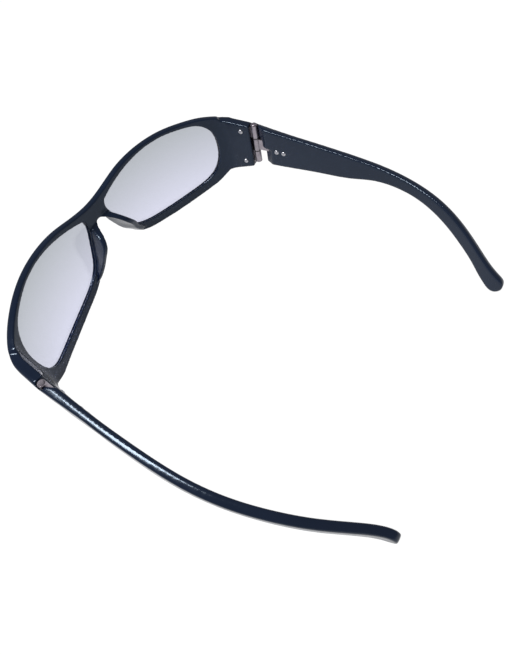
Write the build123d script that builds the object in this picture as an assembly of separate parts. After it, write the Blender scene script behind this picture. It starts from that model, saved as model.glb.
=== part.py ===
from build123d import *
import math
import os

# Wraparound sunglasses with riveted hinges, in millimetres.
# The plastic pieces are drawn in the wearing frame: +X to the wearer's right, +Y ahead, +Z up,
# the temples' top edges level. They are then turned by REST_TILT about X into the standing
# frame, in which the lower rims and the temple tips touch the table and the hinge pins are
# upright. The hinges are drawn in the standing frame. Everything is made for the wearer's
# right side and mirrored for the left.

# ---- overall -------------------------------------------------------------------------------
OUTLINE_POINTS = 36        # points that carry a long curve beside another one
NOSE_POINTS = 12           # and the short one round the nose
REST_TILT = 5.1            # from the wearing frame to the standing frame, degrees
FIT_GAP = 0.03             # running and assembly clearance between pieces that touch
CUT_LONG = 60.0            # cutters reach this far along and up, well past the body
CUT_WIDE = 30.0            # and this far to the side

# ---- front, in plan: the back face of the rims is y = FACE_Y - C2 x^2 - C4 x^4 + LEAN z -----
FACE_Y = 19.1
FACE_C2 = 0.0036
FACE_C4 = 3.74e-7
LEAN = 0.15
FACE_END_X = 62.5          # the front turns into the end pieces from here
RIM_DEPTH = 3.2
END_THICK = 4.3
END_FOOT = (65.8, -5.0)    # a point on the inner face of the end piece
END_SPLAY = 8.1            # the end piece's angle off the Y axis, degrees
BAND_REACH = 24.0          # length of the end piece before it is trimmed
FRONT_ROUND = 1.2          # rounding of the front's forward edges

# ---- front, seen from behind: outlines in x, z ----------------------------------------------
TOP_EDGE = [(0, 12.7), (10, 14.1), (20, 16.8), (30, 18.45), (41, 19.1), (52, 18.5), (58, 17.8),
            (62, 17.1), (66, 16.0), (70, 15.2), (76, 14.8)]
LOW_EDGE = [(15.0, -16.3), (20, -19.0), (30, -21.1), (40, -21.6), (50, -20.1), (58, -17.5),
            (63, -14.9), (67, -12.2)]
EYE_EDGE = [(7.6, 10.2), (17.5, 13.7), (30.4, 16.7), (41.0, 17.5), (51.4, 16.6), (58.6, 14.5),
            (62.2, 9.7), (63.1, 2.3), (61.8, -5.7), (58.6, -11.2), (52.1, -14.8), (42.0, -16.7),
            (30.0, -16.6), (20.6, -14.6), (14.6, -11.0), (11.5, -6.5), (7.6, 1.7), (6.2, 8.2)]
END_FLOOR = [(0.9, -18.9), (-4.5, -11.65), (-24.0, -3.65)]   # lower edge of the end piece, in y, z
END_TOP = 15.0             # flat top of the end piece
END_BEVEL = 1.0            # and the bevel on its outer edge
STEP_AT = (66.3, -0.7)     # the brow comes down to it here by a short ramp
STEP_WAY = (0.6, 0.8)      # along the ramp's foot
STEP_RAMP = 50             # the ramp's slope, degrees

# ---- nose gap and moulded pads ------------------------------------------------------------------
NOSE_TOP = 5.2             # crown of the gap's arch, at the front's back face
# x and z of the gap's side there, and how much it widens for each mm towards the wearer
NOSE_EDGE = [(2.2, 4.7, 0.10), (4.4, 3.0, 0.15), (5.5, 0.3, 0.22), (7.6, -4.7, 0.34),
             (9.3, -8.5, 0.38), (12.1, -12.6, 0.42), (14.7, -15.6, 0.42), (18.5, -19.5, 0.42)]
PAD_THICK = 2.2
PAD_CREST = [(20.4, 5.4), (17.0, 4.2), (13.2, 2.6), (11.2, -0.5), (11.6, -4.4), (13.2, -10.4),
             (14.3, -14.4), (16.9, -18.0)]     # how far the pads stand out, in y, z

# ---- lenses ---------------------------------------------------------------------------------
EYE_MID_X = 35.0           # the lens openings are cut square to the wall here
LENS_BACK = 0.9            # depth of the lens behind the rim's back face
LENS_THICK = 1.6
LENS_BEVEL = 0.8           # how far the lens edge sits in its groove
FRONT_RELIEF = 0.5         # the opening is wider by this ahead of the lens

# ---- temples, in the wearing frame ------------------------------------------------------------
TEMPLE_THICK = 3.3
TEMPLE_FRONT_THICK = 4.3   # at the hinge end
TEMPLE_ROOT = [(67.55, -14.0), (69.8, -36.4)]       # straight stretch of the inner face, x, y
TEMPLE_PLAN = [(70.95, -53), (71.4, -65), (71.15, -77), (69.6, -89), (66.2, -102), (61.5, -114),
               (55.6, -125.5), (52.7, -131.5), (51.3, -136), (50.9, -141)]
TEMPLE_TOP = [(-12, 16.1), (-40, 14.15), (-62, 13.6), (-90, 13.0), (-105, 11.4), (-120, 6.6),
              (-126, 3.9), (-131, 1.6), (-135, 0.0), (-137.8, -1.6), (-138.9, -4.2)]
TEMPLE_LOW = [(-138.9, -4.2), (-138.4, -6.9), (-136.2, -8.61), (-132.2, -7.3), (-129.0, -5.4),
              (-124.3, -2.4), (-118, 0.5), (-107, 4.6), (-95, 7.1), (-84, 7.1), (-74, 5.5),
              (-64, 2.3), (-50, -0.1), (-38, -1.9), (-26, -3.3), (-12, -4.5)]
TEMPLE_ROUND = 0.45        # rounding of its inner edges
CROWN_START = 1.5          # from this far beside the inner face its top falls away outwards
CROWN_FALL = 0.36          # by this much per mm
LONG_EDGE = 8.0            # edges of the blank shorter than this stay sharp

# ---- hinges, in the standing frame --------------------------------------------------------------
HINGE_X = 69.9
HINGE_Y = -17.9
BARREL_R = 1.5
PIN_R = 0.7
WASHER_THICK = 0.6
LOWER_KNUCKLE = (-5.8, 0.0)
UPPER_KNUCKLE = (7.2, 13.5)
LEAF_THICK = 1.1
FRONT_CUT = 2.0            # the end piece stops this far ahead of the pin
TEMPLE_CUT = 1.7           # the temple starts this far behind it
LIP = 1.62                 # but further out than this from the pin, they meet in a butt joint
LIP_GAP = 0.1
TEMPLE_MITRE = (0.1, 1.7)  # it is cut back from here inwards, by this much per mm
NOTCH_TOP = 2.9            # and below this height everywhere
NOTCH_DEPTH = 2.7          # by this much
FRONT_LEAF = (2.1, 9.2, -7.4, 12.2)     # from, to along the end piece; from, to in height
TEMPLE_LEAF_SPLAY = 6.2
TEMPLE_LEAF = (2.1, 17.0, 0.9, 6.3)
FRONT_RIVETS = [(6.2, 10.4), (6.0, -5.7)]
TEMPLE_RIVETS = [(10.6, 2.2), (14.0, 2.1)]
RIVET_R = 0.65
RIVET_HEAD_R = 1.1
RIVET_HEAD = 0.45
FRONT_FACE = 2.14          # from the pin to the seats of the rivet heads, front
TEMPLE_FACE = -1.93        # and temple
FRONT_RIVET_LENGTH = 3.1
TEMPLE_RIVET_LENGTH = 2.6

SCREW_HEAD_R = 1.15
SCREW_HEAD = 0.5
SCREW_SLOT = 0.35
SCREW_TIP = 0.85           # the screw stops this far above the lower knuckle's foot

# ---- core wires, in the wearing frame ----------------------------------------------------------
WIRE_R = 0.6
WIRE_ROUTE = [(71.7, -37, 6.6), (72.9, -54, 7.3), (73.0, -71, 9.3), (71.2, -87, 10.7),
              (67.9, -102, 9.2), (63.2, -114, 5.4), (57.1, -125.5, 0.7), (54.0, -132.5, -2.6)]


# ---- helpers ---------------------------------------------------------------------------------
def face_y(x):
    """Back face of the front at z = 0."""
    return FACE_Y - FACE_C2 * x ** 2 - FACE_C4 * x ** 4


def face_slope(x):
    return -2 * FACE_C2 * x - 4 * FACE_C4 * x ** 3


def stand(shape):
    """From the wearing frame to the standing frame."""
    return shape.rotate(Axis.X, REST_TILT)


def flipped(shape):
    return shape.mirror(Plane.YZ)


def heading(splay):
    """Rearward on the wearer's right, turned outwards by this many degrees."""
    angle = math.radians(splay)
    return Vector(math.sin(angle), -math.cos(angle), 0)


def one(shape):
    """The single solid that a cut or a join leaves."""
    solids = shape.solids()
    if len(solids) != 1:
        raise ValueError(f"expected one solid, found {len(solids)}")
    return solids[0]


def beside(edge, distance, count, periodic=False):
    """A spline that runs beside a planar edge, to the right of its direction."""
    steps = count if periodic else count - 1
    points = []
    for i in range(count):
        way = edge % (i / steps)
        points.append(edge @ (i / steps) + Vector(way.Y, -way.X, 0) * distance)
    if periodic:
        return Spline(points, periodic=True)
    return Spline(points, tangents=[edge % 0, edge % 1])


def side_prism(points, reach):
    """A polygon in y, z, as a prism across X."""
    return extrude(make_face(Polyline([Vector(0, y, z) for y, z in points], close=True)),
                   amount=reach, both=True)


def seen_from_behind(y):
    """An upright plane across the glasses: local x and y are x and z."""
    return Plane(origin=(0, y, 0), x_dir=(1, 0, 0), z_dir=(0, -1, 0))


# ---- front -------------------------------------------------------------------------------------
def band(inner, outer, end_inner, end_outer, height=30.0):
    """The front's curved wall between two depths ahead of its back face, end pieces included."""
    run = heading(END_SPLAY)
    outward = Vector(-run.Y, run.X, 0)
    way = Vector(1, face_slope(FACE_END_X), 0).normalized()
    edges = []
    tails = []
    for depth, end_depth in ((inner, end_inner), (outer, end_outer)):
        pts = []
        for i in range(-8, 9):
            x = FACE_END_X * i / 8
            stretch = math.hypot(1, face_slope(x))
            pts.append((x - face_slope(x) / stretch * depth, face_y(x) + depth / stretch))
        start = Vector(pts[-1][0], pts[-1][1], 0)
        foot = Vector(END_FOOT[0], END_FOOT[1], 0) + outward * end_depth
        across = foot - start
        reach = (across.X * run.Y - across.Y * run.X) / (way.X * run.Y - way.Y * run.X)
        stop = start + (way + run) * reach
        tail = foot + run * BAND_REACH
        edges.append(Spline(pts, tangents=[(way.X, -way.Y), (way.X, way.Y)]))
        for piece in (TangentArc(start, stop, tangent=way), Line(stop, tail)):
            edges += [piece, piece.mirror(Plane.YZ)]
        tails.append(tail)
    end = Line(tails[0], tails[1])
    edges += [end, end.mirror(Plane.YZ)]
    lean = Vector(0, LEAN, 1)
    low = make_face(edges).moved(Location(lean * -height))
    return extrude(low, amount=2 * height * lean.length, dir=lean)


def outline_prism():
    """Outer outline of the front, seen from behind, as a prism along Y."""
    top = [Vector(x, 0, z) for x, z in [(-x, z) for x, z in TOP_EDGE[:0:-1]] + TOP_EDGE]
    low = [Vector(x, 0, z) for x, z in LOW_EDGE]
    foot = Vector(TOP_EDGE[-1][0], 0, LOW_EDGE[-1][1])
    edges = [Spline(top), Line(low[0], Vector(-low[0].X, 0, low[0].Z))]
    for piece in (Spline(low), Line(low[-1], foot), Line(foot, top[-1])):
        edges += [piece, piece.mirror(Plane.YZ)]
    return extrude(make_face(edges), amount=60, both=True)


def nose_gap(grow):
    """The gap over the nose, wider towards the wearer, grown all round."""
    wires = []
    for y in (FACE_Y + 6, FACE_Y - 12):
        side = [(0, NOSE_TOP)]
        for x, z, splay in NOSE_EDGE:
            side.append((x + (FACE_Y + LEAN * z - y) * splay, z))
        edge = Spline(side, tangents=[(1, 0), (0.7, -0.7)])
        if grow:
            edge = beside(edge, -grow, NOSE_POINTS)
        low = edge @ 1 - Vector(0, 12, 0)
        edges = [Line(low, (-low.X, low.Y))]
        for piece in (edge, Line(edge @ 1, low)):
            edges += [piece, piece.mirror(Plane.YZ)]
        wires.append(seen_from_behind(y) * Wire(edges))
    return Solid.make_loft(wires, ruled=True)


def nose_pads(gap):
    """Both moulded pads: the rims' nasal sides, carried on towards the wearer."""
    crest = Spline([Vector(0, y, z) for y, z in PAD_CREST])
    side = make_face([crest, Line(crest @ 1, crest @ 0)])
    return (nose_gap(PAD_THICK) & extrude(side, amount=40, both=True)) - gap


def eye_prism(grow):
    """The right lens opening, grown all round, cut square to the wall in the eye's middle."""
    slope = face_slope(EYE_MID_X)
    square = Plane(origin=(EYE_MID_X, face_y(EYE_MID_X), 0), x_dir=(1, slope, 0),
                   z_dir=(-slope, 1, -LEAN))
    flat = []
    for x, z in EYE_EDGE:
        local = square.to_local_coords(Vector(x, face_y(x) + LEAN * z, z))
        flat.append((local.X, local.Y))
    edge = Spline(flat, periodic=True)
    if grow:
        edge = beside(edge, grow, OUTLINE_POINTS, periodic=True)
    return extrude(square * make_face(edge), amount=25, both=True)


def lens(gap):
    """The right lens. A gap makes the groove that it sits in."""
    back = LENS_BACK - gap
    wall = band(back, LENS_BACK + LENS_THICK + gap, back, LENS_BACK + LENS_THICK + gap)
    return one(wall & eye_prism(LENS_BEVEL + gap))


def end_step():
    """What is cut off the right end piece's top: a flat floor that ends in a ramp."""
    rise = 10
    step = Plane(origin=(STEP_AT[0], STEP_AT[1], END_TOP), x_dir=(STEP_WAY[1], -STEP_WAY[0], 0),
                 z_dir=(-STEP_WAY[0], -STEP_WAY[1], 0))
    floor = [(0, 0), (40, 0), (40, rise), (-rise / math.tan(math.radians(STEP_RAMP)), rise)]
    side = step * make_face(Polyline(floor, close=True))
    return extrude(side, amount=30) + extrude(side, amount=-12)


def end_bevel():
    """What is cut off the outer edge of the right end piece's top."""
    run = heading(END_SPLAY)
    outward = Vector(-run.Y, run.X, 0)
    reach = 5              # well clear of the end piece
    edge = Vector(END_FOOT[0], END_FOOT[1] + LEAN * END_TOP, END_TOP) + outward * END_THICK
    corner = Plane(origin=edge + run * LEAN * END_TOP, x_dir=outward, z_dir=run)
    ring = [(-END_BEVEL - reach, reach), (reach, -END_BEVEL - reach), (reach, reach)]
    return extrude(corner * make_face(Polyline(ring, close=True)), amount=30)


def front_blank():
    """Front with its openings, in the wearing frame."""
    body = band(0, RIM_DEPTH, 0, END_THICK) & outline_prism()
    forward = []
    for edge in body.edges():
        middle = edge @ 0.5
        x = abs(middle.X)
        depth = (middle.Y - face_y(x) - LEAN * middle.Z) / math.hypot(1, face_slope(x))
        if x < FACE_END_X + 3.5 and depth > 0.9 * RIM_DEPTH:
            forward.append(edge)
    body = fillet(forward, FRONT_ROUND)
    body -= side_prism(END_FLOOR + [(END_FLOOR[-1][0], -40), (END_FLOOR[0][0], -40)], 90)
    gap = nose_gap(0)
    body -= gap
    ahead = LENS_BACK + LENS_THICK
    relief = band(ahead, 2 * ahead, ahead, 2 * ahead) & eye_prism(FRONT_RELIEF)
    for cutter in (eye_prism(0), lens(FIT_GAP), relief, end_step(), end_bevel()):
        body -= cutter
        body -= flipped(cutter)
    return one(body + nose_pads(gap))


# ---- hinge frames -------------------------------------------------------------------------------
def along(splay, back=False):
    """Plane on the right pin: local x runs along the leaf, away from the pin, z is up."""
    run = heading(splay) if back else heading(splay) * -1
    return Plane(origin=(HINGE_X, HINGE_Y, 0), x_dir=run, z_dir=(0, 0, 1))


def block(plane, lengths, widths, heights):
    """A box in a hinge plane: along the leaf, across it, and up."""
    size = [b - a for a, b in (lengths, widths, heights)]
    mid = [(a + b) / 2 for a, b in (lengths, widths, heights)]
    return plane * (Location(mid) * Box(*size))


def upright(radius, low, high):
    return Location((HINGE_X, HINGE_Y, (low + high) / 2)) * Cylinder(radius, high - low)


TEMPLE_KNUCKLE = (LOWER_KNUCKLE[1] + WASHER_THICK, UPPER_KNUCKLE[0] - WASHER_THICK)
FRONT_PLANE = along(END_SPLAY)
TEMPLE_PLANE = along(TEMPLE_LEAF_SPLAY, back=True)


def leaf(plane, plate, knuckles):
    """Plate with a neck to each knuckle."""
    half = LEAF_THICK / 2
    body = block(plane, plate[:2], (-half, half), plate[2:])
    for low, high in knuckles:
        neck = (max(low, plate[2]), min(high, plate[3]))
        body += block(plane, (0, plate[0] + 0.3), (-half, half), neck)
        body += upright(BARREL_R, low, high)
    return body


def pin_bore(low, high):
    return upright(PIN_R + FIT_GAP, low, high)


def front_leaf():
    body = leaf(FRONT_PLANE, FRONT_LEAF, (LOWER_KNUCKLE, UPPER_KNUCKLE))
    return body - pin_bore(LOWER_KNUCKLE[0] + SCREW_TIP - 0.05, UPPER_KNUCKLE[1] + 1)


def temple_leaf():
    body = leaf(TEMPLE_PLANE, TEMPLE_LEAF, (TEMPLE_KNUCKLE,))
    return body - pin_bore(TEMPLE_KNUCKLE[0] - 1, TEMPLE_KNUCKLE[1] + 1)


def pocket(plane, plate):
    half = LEAF_THICK / 2 + FIT_GAP
    return block(plane, (0, plate[1] + FIT_GAP), (-half, half),
                 (plate[2] - FIT_GAP, plate[3] + FIT_GAP))


def washer(low):
    body = upright(BARREL_R, low, low + WASHER_THICK - FIT_GAP)
    return body - pin_bore(low - 1, low + WASHER_THICK + 1)


def hinge_screw():
    top = UPPER_KNUCKLE[1]
    head = upright(SCREW_HEAD_R, top, top + SCREW_HEAD)
    head = chamfer(head.edges().group_by(Axis.Z)[-1], 0.2)
    slot = Location((HINGE_X, HINGE_Y, top + SCREW_HEAD)) * Box(SCREW_SLOT, 4, 0.5)
    return head + upright(PIN_R, LOWER_KNUCKLE[0] + SCREW_TIP, top) - slot


def rivet(plane, place, face, depth):
    """A rivet from the inner face, at local y = face, into the plastic."""
    low = Vector(0, -depth)
    base = Vector(RIVET_R, 0)
    rim = Vector(RIVET_HEAD_R, 0)
    lip = Vector(RIVET_R * 0.6, RIVET_HEAD)
    dip = Vector(0, RIVET_HEAD * 0.5)
    crown = ThreePointArc(rim, (RIVET_HEAD_R * 0.78, RIVET_HEAD * 0.66), lip)
    profile = [Line(low, low + base), Line(low + base, base), Line(base, rim), crown,
               Line(lip, dip), Line(dip, low)]
    body = revolve(make_face(profile), Axis.Y)
    if face < 0:
        body = body.rotate(Axis.X, 180)
    return plane * (Location((place[0], face, place[1])) * body)


def rivet_hole(plane, place, face, depth):
    """Blind hole for a rivet's shank, and the seat of its head."""
    way = math.copysign(1, face)
    hole = Cylinder(RIVET_R + FIT_GAP, depth + FIT_GAP).rotate(Axis.X, 90)
    seat = Cylinder(RIVET_HEAD_R + FIT_GAP, 2).rotate(Axis.X, 90)
    hole = Location((0, -way * (depth + FIT_GAP) / 2, 0)) * hole
    seat = Location((0, way, 0)) * seat
    return plane * (Location((place[0], face, place[1])) * (hole + seat))


# ---- temples ------------------------------------------------------------------------------------
def crown(inner):
    """A prism whose top falls away outwards from CROWN_START beside the temple's inner face."""
    top = []
    for y, z in TEMPLE_TOP:
        for before, after in zip(inner, inner[1:]):
            if after.Y <= y:
                break
        share = (y - before.Y) / (after.Y - before.Y)
        x = before.X + (after.X - before.X) * share
        top.append(Vector(0, y, z + CROWN_FALL * (x + CROWN_START)))
    foot = [Vector(0, top[-1].Y - 12, -60), Vector(0, top[0].Y, -60)]
    side = make_face([Spline(top), Polyline([top[-1]] + foot + [top[0]])])
    fall = Vector(1, 0, -CROWN_FALL)
    return extrude(side, amount=100 * fall.length, dir=fall)


def temple_blank():
    """Right temple in the wearing frame: its plan band cut to its side outline, edges rounded."""
    root = [Vector(x, y, 0) for x, y in TEMPLE_ROOT]
    ends = [(root[1] - root[0]).normalized(), Vector(-0.05, -1, 0)]
    curve = Spline([root[1]] + [Vector(x, y, 0) for x, y in TEMPLE_PLAN], tangents=ends)
    outer = beside(curve, -TEMPLE_THICK, OUTLINE_POINTS)
    corner = root[0] + Vector(-ends[0].Y, ends[0].X, 0) * TEMPLE_FRONT_THICK
    plan = [Line(root[0], root[1]), curve, Line(curve @ 1, outer @ 1), outer,
            Line(outer @ 0, corner), Line(corner, root[0])]
    wall = extrude(make_face(plan).moved(Location((0, 0, -40))), amount=80)
    outlines = [[Vector(0, y, z) for y, z in outline] for outline in (TEMPLE_TOP, TEMPLE_LOW)]
    edges = [Spline(points) for points in outlines] + [Line(outlines[0][0], outlines[1][-1])]
    body = wall & extrude(make_face(edges), amount=100)
    body &= crown([root[0]] + [curve @ (i / OUTLINE_POINTS) for i in range(OUTLINE_POINTS + 1)])
    inner = Wire([plan[0], curve])
    edges = [edge for edge in body.edges() if edge.length > LONG_EDGE
             and Vertex((edge @ 0.5).X, (edge @ 0.5).Y, 0).distance_to(inner) < 0.1]
    return fillet(edges, TEMPLE_ROUND)


def core_wire(grow):
    """Stiffening wire inside the temple: straight runs joined by large arcs."""
    route = [Vector(p) for p in WIRE_ROUTE]
    radii = []
    for before, here, after in zip(route[:-2], route[1:-1], route[2:]):
        half_turn = math.radians((here - before).get_angle(after - here)) / 2
        run = min((here - before).length, (after - here).length)
        radii.append(0.45 * run / math.tan(half_turn))
    path = FilletPolyline(route, radius=radii)
    start = Plane(origin=path @ 0, z_dir=path % 0)
    return sweep(start * Circle(WIRE_R + grow), path=path)


def temple():
    """Right temple in the standing frame, with its hinge pocket, rivet holes and wire channel."""
    body = stand(temple_blank() - core_wire(FIT_GAP))
    start, rate = TEMPLE_MITRE
    depth = 6
    ring = [(-CUT_WIDE, LIP), (TEMPLE_CUT, LIP), (TEMPLE_CUT, start),
            (TEMPLE_CUT + depth * rate, start - depth), (-CUT_WIDE, start - depth)]
    mitre = extrude(make_face(Polyline(ring, close=True)), amount=CUT_LONG)
    outboard = (LIP - 1, CUT_WIDE)
    body -= TEMPLE_PLANE * mitre
    body -= block(TEMPLE_PLANE, (-CUT_WIDE, LIP_GAP), outboard, (-CUT_LONG, CUT_LONG))
    body -= TEMPLE_PLANE * mitre.moved(Location((NOTCH_DEPTH, 0, NOTCH_TOP - CUT_LONG)))
    body -= block(TEMPLE_PLANE, (-CUT_WIDE, TEMPLE_CUT + NOTCH_DEPTH), outboard,
                  (-CUT_LONG, NOTCH_TOP))
    body -= pocket(TEMPLE_PLANE, TEMPLE_LEAF)
    for place in TEMPLE_RIVETS:
        body -= rivet_hole(TEMPLE_PLANE, place, TEMPLE_FACE, TEMPLE_RIVET_LENGTH)
    return one(body)


# ---- assembly -----------------------------------------------------------------------------------
def right_side():
    """Every piece that comes in a right and a left one, right-hand, in the standing frame."""
    front_rivets = [rivet(FRONT_PLANE, place, FRONT_FACE, FRONT_RIVET_LENGTH)
                    for place in FRONT_RIVETS]
    temple_rivets = [rivet(TEMPLE_PLANE, place, TEMPLE_FACE, TEMPLE_RIVET_LENGTH)
                     for place in TEMPLE_RIVETS]
    front_holes = [rivet_hole(FRONT_PLANE, place, FRONT_FACE, FRONT_RIVET_LENGTH)
                   for place in FRONT_RIVETS]
    temple_holes = [rivet_hole(TEMPLE_PLANE, place, TEMPLE_FACE, TEMPLE_RIVET_LENGTH)
                    for place in TEMPLE_RIVETS]
    return {"lens": stand(lens(0)),
            "temple": temple(),
            "temple_core_wire": stand(core_wire(0)),
            "hinge_front_leaf": one(front_leaf() - front_holes),
            "hinge_temple_leaf": one(temple_leaf() - temple_holes),
            "hinge_screw": one(hinge_screw()),
            "upper_washer": one(washer(TEMPLE_KNUCKLE[1] + FIT_GAP)),
            "lower_washer": one(washer(LOWER_KNUCKLE[1])),
            "front_rivets": Compound(front_rivets),
            "temple_rivets": Compound(temple_rivets)}


def front_frame():
    """Front in the standing frame: end pieces trimmed, hinge pockets and rivet holes cut."""
    body = stand(front_blank())
    height = (-CUT_LONG, CUT_LONG)
    cutters = [block(FRONT_PLANE, (-CUT_LONG, FRONT_CUT), (-LIP, CUT_WIDE), height),
               block(FRONT_PLANE, (-CUT_LONG, 0), (-CUT_WIDE, CUT_WIDE), height),
               pocket(FRONT_PLANE, FRONT_LEAF)]
    cutters += [rivet_hole(FRONT_PLANE, place, FRONT_FACE, FRONT_RIVET_LENGTH)
                for place in FRONT_RIVETS]
    for cutter in cutters:
        body -= cutter
        body -= flipped(cutter)
    return one(body)


def main():
    nodes = {"front_frame": front_frame()}
    for name, shape in right_side().items():
        nodes["right_" + name] = shape
        nodes["left_" + name] = flipped(shape)
    whole = Compound([solid for shape in nodes.values() for solid in shape.solids()])
    box = whole.bounding_box()
    place = Location((0, -box.center().Y, -box.min.Z))
    print("placed by", place.position, "size", box.size)
    print("hinge pin at", HINGE_X, HINGE_Y + place.position.Y, "temple knuckle from",
          TEMPLE_KNUCKLE[0] + place.position.Z)
    os.makedirs("parts", exist_ok=True)
    for name, shape in nodes.items():
        export_step(shape.moved(place), f"parts/{name}.step")


main()
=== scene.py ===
import math

import bmesh
import bpy
from mathutils import Matrix, Vector


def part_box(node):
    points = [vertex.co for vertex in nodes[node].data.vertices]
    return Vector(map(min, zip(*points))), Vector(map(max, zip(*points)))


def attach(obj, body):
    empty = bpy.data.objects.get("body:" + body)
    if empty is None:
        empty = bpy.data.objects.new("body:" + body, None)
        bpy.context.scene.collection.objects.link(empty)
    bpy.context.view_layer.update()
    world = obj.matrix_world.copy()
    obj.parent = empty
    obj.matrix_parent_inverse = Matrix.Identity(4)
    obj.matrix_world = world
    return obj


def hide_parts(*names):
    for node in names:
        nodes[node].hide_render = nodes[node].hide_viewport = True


# Looks of the wraparound sunglasses. Metres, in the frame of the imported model:
# +X to the wearer's right, +Y ahead through the front, +Z up, standing on z = 0.
# The front and the temples are shown as smoothed copies of their CAD solids. Every
# other piece is the CAD's own mesh with a material.

SIDES = ("right", "left")

# Linear colours. Plastic, metal and washers vary between a dark and a light tone.
# The temples' two tones are set a little lighter than the front's. That difference is
# painted light on the temples and painted shade on the front. Within each piece, the two
# tones are the plastic's random marbling.
FRONT_DARK = (0.0040, 0.0085, 0.0230)
FRONT_LIGHT = (0.0070, 0.0135, 0.0340)
TEMPLE_DARK = (0.0060, 0.0110, 0.0270)
TEMPLE_LIGHT = (0.0100, 0.0165, 0.0370)
SHEEN_TINT = (0.70, 0.84, 1.0, 1)    # tint of the plastic's reflections
HINGE_LIGHT = (0.44, 0.40, 0.44)
RIVET_LIGHT = (0.62, 0.62, 0.66)
WIRE_LIGHT = (0.5, 0.5, 0.5)
METAL_DULL = 0.72                    # a metal's dark tone as a share of its light one
WASHER_DARK = (0.010, 0.010, 0.012)
WASHER_LIGHT = (0.022, 0.022, 0.026)
TINT_LOW = (0.68, 0.69, 0.82)        # the lens near its lower edge
TINT_HIGH = (0.45, 0.475, 0.51)      # and near its upper edge

# Surfaces.
PLASTIC_IOR = 1.45
LENS_IOR = 1.5
WAVE_DEPTH = 0.00002                 # heights of the plastic's fine unevenness
PEEL_DEPTH = 0.000006
SCRATCH_DEPTH = 0.000003
BRUSH_DEPTH = 0.000006               # and of the metal's brush marks
HINGE_ROUGH = 0.26
RIVET_ROUGH = 0.22
WIRE_ROUGH = 0.3
WORN_ROUGHER = 0.14                  # how much rougher the metal is where it is worn
TINT_ABOVE_BOTTOM = 0.004            # where the lens's gradient starts and ends
TINT_BELOW_TOP = 0.002

# Rounding of the plastic's edges.
WELD = 1e-7                          # mesh points closer than this are one
VOXEL = 0.00025                      # grain of the remeshed plastic pieces
SOFTEN_STEP = 0.5                    # how far one smoothing pass moves a point
FRONT_SOFTEN = 24                    # smoothing passes that round the front's edges
TEMPLE_SOFTEN = 36                   # and the temples'

# Floor and light. A glow is what each kind of ray sees of the plain white background.
FLOOR_COLOR = (0.74, 0.74, 0.75, 1)
FLOOR_ROUGH = 0.9
FLOOR_WHITE = 1.08                   # strength of the floor's glow
FLOOR_RADIUS = 3.0
FLOOR_SEGMENTS = 96
FLOOR_DROP = 0.00005                 # gap that keeps the floor clear of the glasses
FLOOR_GLOW = (("Is Camera Ray", 0.93), ("Is Glossy Ray", 0.3), ("Is Transmission Ray", 0.85))
SKY_COLOR = (0.93, 0.95, 1.0, 1)
SKY = 0.24                           # strength of the light from all round
SKY_GLOW = (("Is Camera Ray", 1.08), ("Is Glossy Ray", 0.3), ("Is Transmission Ray", 1.0))
KEY_PLACE = (-0.36, 0.23, 0.78)
KEY_AIM = (-0.07, 0, 0.03)
KEY_SIZE = (0.16, 0.36)
KEY_POWER = 6.5

# Camera.
EYE = Vector((-0.0813, -0.0713, 0.1690))
LOOK_AT = Vector((-0.01165, -0.00663, 0.0158))
ROLL = -14.66                        # degrees
FOCAL_MM = 26.38
SENSOR_MM = 36.0
NEAR_CLIP = 0.01

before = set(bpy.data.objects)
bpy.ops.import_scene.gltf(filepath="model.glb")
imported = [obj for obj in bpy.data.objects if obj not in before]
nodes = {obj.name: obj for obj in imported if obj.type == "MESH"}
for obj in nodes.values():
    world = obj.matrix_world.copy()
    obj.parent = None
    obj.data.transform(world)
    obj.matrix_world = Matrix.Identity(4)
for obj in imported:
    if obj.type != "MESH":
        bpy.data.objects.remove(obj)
scene = bpy.context.scene
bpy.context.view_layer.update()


# ---- shader helpers ------------------------------------------------------------------
def material(name):
    """A new material, its node tree and its Principled shader."""
    mat = bpy.data.materials.new(name)
    mat.use_nodes = True
    tree = mat.node_tree
    return mat, tree, tree.nodes["Principled BSDF"]


def node(tree, kind, **settings):
    """A new node of this kind with the settings given."""
    made = tree.nodes.new(kind)
    for key, value in settings.items():
        setattr(made, key, value)
    return made


def noise(tree, scale, detail, stretch=(1, 1, 1)):
    """Noise in the object's own coordinates, which are first multiplied by stretch."""
    where = node(tree, "ShaderNodeTexCoord")
    mapping = node(tree, "ShaderNodeMapping")
    mapping.inputs["Scale"].default_value = stretch
    made = node(tree, "ShaderNodeTexNoise")
    made.inputs["Scale"].default_value = scale
    made.inputs["Detail"].default_value = detail
    tree.links.new(where.outputs["Object"], mapping.inputs["Vector"])
    tree.links.new(mapping.outputs["Vector"], made.inputs["Vector"])
    return made.outputs["Fac"]


def spread(tree, value, low, high, start=0.3, stop=0.7):
    """The value's range start .. stop mapped to low .. high."""
    made = node(tree, "ShaderNodeMapRange")
    made.inputs["From Min"].default_value = start
    made.inputs["From Max"].default_value = stop
    made.inputs["To Min"].default_value = low
    made.inputs["To Max"].default_value = high
    tree.links.new(value, made.inputs["Value"])
    return made.outputs["Result"]


def blend_colors(tree, factor, first, second):
    """The first colour where the factor is 0, the second where it is 1."""
    made = node(tree, "ShaderNodeMix", data_type="RGBA")
    made.inputs["A"].default_value = (*first, 1)
    made.inputs["B"].default_value = (*second, 1)
    tree.links.new(factor, made.inputs["Factor"])
    return made.outputs["Result"]


def bump(tree, height, depth, under=None):
    """A bumped normal, on top of the normal under it if there is one."""
    made = node(tree, "ShaderNodeBump")
    made.inputs["Distance"].default_value = depth
    made.inputs["Strength"].default_value = 1.0
    tree.links.new(height, made.inputs["Height"])
    if under is not None:
        tree.links.new(under, made.inputs["Normal"])
    return made.outputs["Normal"]


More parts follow.
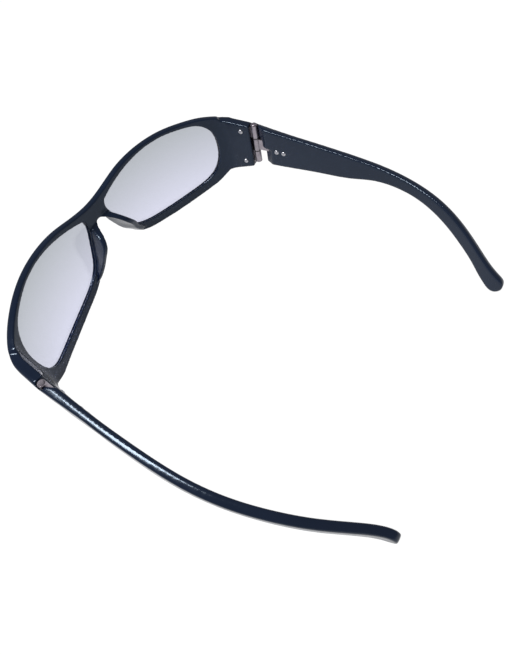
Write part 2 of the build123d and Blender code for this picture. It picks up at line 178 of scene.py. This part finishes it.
def mixed_surface(tree, factor, first, second):
    """Makes the surface the first shader where the factor is 0, the second where it is 1."""
    mix = node(tree, "ShaderNodeMixShader")
    tree.links.new(factor, mix.inputs["Fac"])
    tree.links.new(first, mix.inputs[1])
    tree.links.new(second, mix.inputs[2])
    tree.links.new(mix.outputs["Shader"], tree.nodes["Material Output"].inputs["Surface"])


def ray_share(tree, parts):
    """The largest of the given parts among the kinds of ray that apply."""
    path = node(tree, "ShaderNodeLightPath")
    share = None
    for ray, part in parts:
        seen = node(tree, "ShaderNodeMath", operation="MULTIPLY")
        seen.inputs[1].default_value = part
        tree.links.new(path.outputs[ray], seen.inputs[0])
        if share is not None:
            most = node(tree, "ShaderNodeMath", operation="MAXIMUM")
            tree.links.new(share.outputs["Value"], most.inputs[0])
            tree.links.new(seen.outputs["Value"], most.inputs[1])
            seen = most
        share = seen
    return share.outputs["Value"]


# ---- materials -----------------------------------------------------------------------
def plastic(name, dark, light):
    """Polished blue-black plastic: faint marbling, haze, waviness and hair scratches."""
    mat, tree, shader = material(name)
    marble = spread(tree, noise(tree, scale=55, detail=4, stretch=(1, 0.45, 1)), 0, 1)
    tree.links.new(blend_colors(tree, marble, dark, light), shader.inputs["Base Color"])
    haze = spread(tree, noise(tree, scale=420, detail=5), 0.10, 0.20)
    tree.links.new(haze, shader.inputs["Roughness"])
    waves = bump(tree, noise(tree, scale=260, detail=2), WAVE_DEPTH)
    peel = bump(tree, noise(tree, scale=700, detail=2), PEEL_DEPTH, waves)
    hairs = noise(tree, scale=1500, detail=2, stretch=(1, 0.08, 1))
    tree.links.new(bump(tree, hairs, SCRATCH_DEPTH, peel), shader.inputs["Normal"])
    shader.inputs["IOR"].default_value = PLASTIC_IOR
    shader.inputs["Specular Tint"].default_value = SHEEN_TINT
    return mat


def metal(name, light, rough):
    """Plated metal, a little worn."""
    mat, tree, shader = material(name)
    dark = tuple(METAL_DULL * c for c in light)
    wear = spread(tree, noise(tree, scale=700, detail=4), 0, 1)
    tree.links.new(blend_colors(tree, wear, dark, light), shader.inputs["Base Color"])
    rubbed = noise(tree, scale=1600, detail=3, stretch=(1, 1, 0.2))
    tree.links.new(spread(tree, rubbed, rough, rough + WORN_ROUGHER),
                   shader.inputs["Roughness"])
    brushed = noise(tree, scale=2600, detail=2, stretch=(1, 1, 0.15))
    tree.links.new(bump(tree, brushed, BRUSH_DEPTH), shader.inputs["Normal"])
    shader.inputs["Metallic"].default_value = 1.0
    return mat


def washer_plastic(name):
    """Matt near-black plastic with a fine grain."""
    mat, tree, shader = material(name)
    grain = spread(tree, noise(tree, scale=2200, detail=2), 0, 1)
    tree.links.new(blend_colors(tree, grain, WASHER_DARK, WASHER_LIGHT),
                   shader.inputs["Base Color"])
    tree.links.new(spread(tree, grain, 0.45, 0.6, start=0, stop=1),
                   shader.inputs["Roughness"])
    return mat


def lens_tint(name):
    """Clear tinted lens, deeper towards its top; light passes it without a caustic."""
    mat, tree, shader = material(name)
    where = node(tree, "ShaderNodeTexCoord")
    split = node(tree, "ShaderNodeSeparateXYZ")
    tree.links.new(where.outputs["Object"], split.inputs["Vector"])
    low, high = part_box("right_lens")
    depth = spread(tree, split.outputs["Z"], 0, 1,
                   start=low.z + TINT_ABOVE_BOTTOM, stop=high.z - TINT_BELOW_TOP)
    tint = blend_colors(tree, depth, TINT_LOW, TINT_HIGH)
    tree.links.new(tint, shader.inputs["Base Color"])
    haze = spread(tree, noise(tree, scale=240, detail=4), 0.015, 0.035)
    tree.links.new(haze, shader.inputs["Roughness"])
    shader.inputs["Transmission Weight"].default_value = 1.0
    shader.inputs["IOR"].default_value = LENS_IOR
    clear = node(tree, "ShaderNodeBsdfTransparent")
    tree.links.new(tint, clear.inputs["Color"])
    path = node(tree, "ShaderNodeLightPath")
    mixed_surface(tree, path.outputs["Is Shadow Ray"], shader.outputs["BSDF"],
                  clear.outputs["BSDF"])
    return mat


def floor_material():
    """Matt pale floor that reads as the plain background and keeps a soft shadow."""
    mat, tree, shader = material("floor_white")
    shader.inputs["Base Color"].default_value = FLOOR_COLOR
    shader.inputs["Roughness"].default_value = FLOOR_ROUGH
    shader.inputs["Specular IOR Level"].default_value = 0.0
    glow = node(tree, "ShaderNodeEmission")
    glow.inputs["Color"].default_value = (1, 1, 1, 1)
    glow.inputs["Strength"].default_value = FLOOR_WHITE
    mixed_surface(tree, ray_share(tree, FLOOR_GLOW), shader.outputs["BSDF"],
                  glow.outputs["Emission"])
    return mat


# The temple plastic is the front's plastic with lighter tones: painted light on the temples.
FRONT_PLASTIC = plastic("front_plastic", FRONT_DARK, FRONT_LIGHT)
TEMPLE_PLASTIC = plastic("temple_plastic", TEMPLE_DARK, TEMPLE_LIGHT)
HINGE_METAL = metal("hinge_nickel", HINGE_LIGHT, HINGE_ROUGH)
RIVET_METAL = metal("rivet_nickel", RIVET_LIGHT, RIVET_ROUGH)
WIRE_METAL = metal("core_wire_steel", WIRE_LIGHT, WIRE_ROUGH)
WASHER = washer_plastic("washer_plastic")
LENS = lens_tint("lens_grey_blue")

# What each side's pieces are made of, by the end of their names.
SIDE_MATERIALS = {
    "_lens": LENS,
    "_temple": TEMPLE_PLASTIC,
    "_temple_core_wire": WIRE_METAL,
    "_hinge_front_leaf": HINGE_METAL,
    "_hinge_temple_leaf": HINGE_METAL,
    "_hinge_screw": HINGE_METAL,
    "_upper_washer": WASHER,
    "_lower_washer": WASHER,
    "_front_rivets": RIVET_METAL,
    "_temple_rivets": RIVET_METAL,
}


# ---- pieces --------------------------------------------------------------------------
def paint(obj, mat):
    obj.data.materials.clear()
    obj.data.materials.append(mat)


def rounded(name, body, mat, passes):
    """Shows the node as a copy with its edges polished round, as on polished plastic."""
    shell = bmesh.new()
    shell.from_mesh(nodes[name].data)
    bmesh.ops.remove_doubles(shell, verts=shell.verts, dist=WELD)
    mesh = bpy.data.meshes.new(name + "_polished")
    shell.to_mesh(mesh)
    shell.free()
    made = bpy.data.objects.new(name + "_polished", mesh)
    scene.collection.objects.link(made)
    remesh = made.modifiers.new("remesh", "REMESH")
    remesh.mode = "VOXEL"
    remesh.voxel_size = VOXEL
    soften = made.modifiers.new("soften", "SMOOTH")
    soften.factor = SOFTEN_STEP
    soften.iterations = passes
    shaped = made.evaluated_get(bpy.context.evaluated_depsgraph_get())
    made.data = bpy.data.meshes.new_from_object(shaped)
    made.modifiers.clear()
    made.data.polygons.foreach_set("use_smooth", [True] * len(made.data.polygons))
    paint(made, mat)
    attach(made, body)
    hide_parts(name)


rounded("front_frame", "front", FRONT_PLASTIC, FRONT_SOFTEN)
paint(nodes["front_frame"], FRONT_PLASTIC)
for side in SIDES:
    rounded(side + "_temple", side + "_temple", TEMPLE_PLASTIC, TEMPLE_SOFTEN)
    for piece, stuff in SIDE_MATERIALS.items():
        paint(nodes[side + piece], stuff)


# ---- floor, light and camera ---------------------------------------------------------
def floor():
    mesh = bpy.data.meshes.new("floor")
    ring = bmesh.new()
    bmesh.ops.create_circle(ring, cap_ends=True, segments=FLOOR_SEGMENTS,
                            radius=FLOOR_RADIUS)
    ring.to_mesh(mesh)
    ring.free()
    made = bpy.data.objects.new("floor", mesh)
    made.location = (0, 0, -FLOOR_DROP)
    scene.collection.objects.link(made)
    paint(made, floor_material())


def softbox(name, place, aim, size, power):
    """A rectangular area lamp pointed at a place."""
    lamp = bpy.data.lights.new(name, "AREA")
    lamp.shape = "RECTANGLE"
    lamp.size, lamp.size_y = size
    lamp.energy = power
    made = bpy.data.objects.new(name, lamp)
    made.location = place
    way = Vector(aim) - Vector(place)
    made.rotation_euler = way.to_track_quat("-Z", "Y").to_euler()
    scene.collection.objects.link(made)


def world_light():
    """Even light from all round, with a brighter background for some kinds of ray."""
    world = bpy.data.worlds.new("studio")
    world.use_nodes = True
    scene.world = world
    tree = world.node_tree
    back = tree.nodes["Background"]
    back.inputs["Color"].default_value = SKY_COLOR
    strength = node(tree, "ShaderNodeMath", operation="MAXIMUM")
    strength.inputs[1].default_value = SKY
    tree.links.new(ray_share(tree, SKY_GLOW), strength.inputs[0])
    tree.links.new(strength.outputs["Value"], back.inputs["Strength"])


def camera():
    """Close behind the left temple, above it, looking ahead and down across the glasses."""
    data = bpy.data.cameras.new("camera")
    data.lens = FOCAL_MM
    data.sensor_width = SENSOR_MM
    data.clip_start = NEAR_CLIP
    made = bpy.data.objects.new("camera", data)
    turn = (LOOK_AT - EYE).to_track_quat("-Z", "Y").to_matrix()
    roll = Matrix.Rotation(math.radians(ROLL), 3, "Z")
    made.matrix_world = Matrix.Translation(EYE) @ (turn @ roll).to_4x4()
    scene.collection.objects.link(made)
    scene.camera = made


floor()
world_light()
softbox("key", KEY_PLACE, KEY_AIM, KEY_SIZE, KEY_POWER)
camera()
scene.view_settings.view_transform = "Standard"
